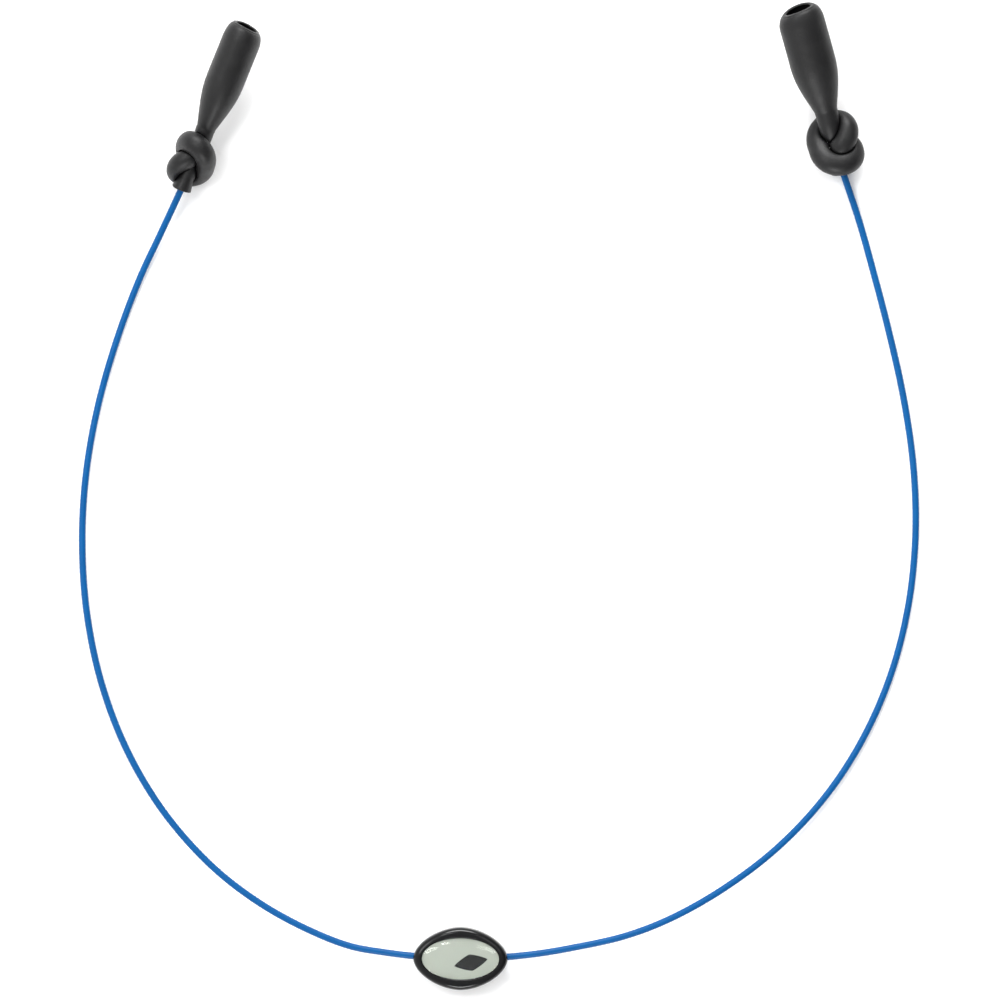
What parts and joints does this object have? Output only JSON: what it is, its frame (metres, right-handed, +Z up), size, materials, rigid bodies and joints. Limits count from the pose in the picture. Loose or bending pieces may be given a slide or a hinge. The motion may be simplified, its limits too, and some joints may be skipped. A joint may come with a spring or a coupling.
{
  "type": "eyeglasses retainer strap",
  "caption": "Low-profile springy cable eyewear retainer: coated steel cable in a U, knotted silicone temple grips on its ends and a sliding oval medallion behind the neck.",
  "frame": {"origin": "on the table under the middle of the box of the two temple grips and the medallion", "axes": "+Z up from the table, +Y from the medallion to the open ends of the grips, +X across to the right grip"},
  "size_m": [0.1451, 0.17, 0.0142],
  "materials": {
    "blue_nylon": "smooth extruded coating, satin",
    "wire_rope": "stainless wire rope",
    "ferrule_steel": "crimped stainless steel",
    "black_silicone": "soft moulded rubber, satin, slightly dusty",
    "black_gloss": "polished moulded plastic",
    "pale_inlay": "printed pale grey-green plate",
    "dark_ink": "raised printing ink",
    "clear_resin": "clear domed resin",
    "grey_silicone": "soft translucent silicone"
  },
  "bodies": {
    "cable": {"cable_core": "wire_rope", "cable_jacket": "blue_nylon", "left_ferrule": "ferrule_steel", "right_ferrule": "ferrule_steel"},
    "left_grip": {"left_grip": "black_silicone"},
    "right_grip": {"right_grip": "black_silicone"},
    "bush": {"bead_bush": "grey_silicone"},
    "medallion": {"bead_front_shell": "black_gloss", "bead_back_shell": "black_gloss", "bead_face_plate": "pale_inlay", "bead_motif": "dark_ink", "bead_dome": "clear_resin"}
  },
  "joints": [
    {"name": "bead_slide", "type": "hinge", "parent": "cable", "child": "bush", "pos_m": [-0.0088, 0.0135, 0.0023], "axis": [0, 0, 1], "range_deg": [-6.5, 6.5]},
    {"name": "bead_spin", "type": "hinge", "parent": "bush", "child": "medallion", "pos_m": [-0.00969, -0.0796, 0.0023], "axis": [1, -0.0096, 0], "continuous": true},
    {"name": "left_grip_swivel", "type": "hinge", "parent": "cable", "child": "left_grip", "pos_m": [-0.0578, 0.0531, 0.00378], "axis": [0.3753, 0.9105, 0.1736], "continuous": true},
    {"name": "right_grip_swivel", "type": "hinge", "parent": "cable", "child": "right_grip", "pos_m": [0.0563, 0.0561, 0.00166], "axis": [-0.2622, 0.9084, 0.3256], "continuous": true}
  ]
}
